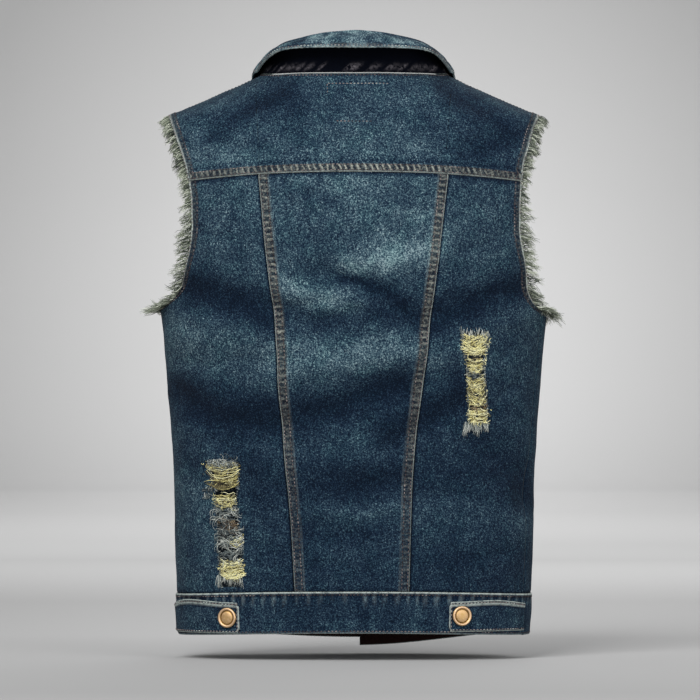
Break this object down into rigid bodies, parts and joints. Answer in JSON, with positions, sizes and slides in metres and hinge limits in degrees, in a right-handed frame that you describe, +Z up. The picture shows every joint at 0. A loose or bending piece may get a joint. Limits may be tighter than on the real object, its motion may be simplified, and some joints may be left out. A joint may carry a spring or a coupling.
{
  "type": "denim vest",
  "caption": "Sleeveless denim vest with a turned collar, yoked back, frayed armholes, ripped side panels, waistband with buttoned tabs, worn hollow.",
  "frame": {"origin": "midway between the two points where the neck seam crosses the shoulders, where the wearer's shoulders hold the vest", "axes": "+Z up, -Y towards the vest's back, +Y towards its buttoned fronts, +X towards the wearer's right"},
  "size_m": [0.453, 0.2482, 0.6815],
  "materials": {
    "denim": "washed dark blue twill",
    "faded_denim": "washed blue twill, faded",
    "frayed_yarn": "frayed pale yarn",
    "weft_yarn": "yellowed loose weft",
    "antique_brass": "antique brass, worn"
  },
  "bodies": {
    "root": {"back_yoke": "denim", "waistband_back": "denim", "collar": "denim", "back_side_panel_left": "denim", "front_panel_left": "denim", "front_placket_left": "denim", "waistband_front_left": "denim", "waist_tab_left": "denim", "back_side_panel_right": "denim", "front_panel_right": "denim", "front_placket_right": "denim", "waistband_front_right": "denim", "waist_tab_right": "denim", "back_centre_panel": "faded_denim", "armhole_fringe_left": "frayed_yarn", "rip_weft_yarns_left": "weft_yarn", "waist_tab_button_left": "antique_brass", "armhole_fringe_right": "frayed_yarn", "rip_weft_yarns_right": "weft_yarn", "waist_tab_button_right": "antique_brass", "front_button_1": "antique_brass", "front_button_2": "antique_brass", "front_button_3": "antique_brass", "front_button_4": "antique_brass", "front_button_5": "antique_brass", "front_button_6": "antique_brass"}
  },
  "joints": []
}
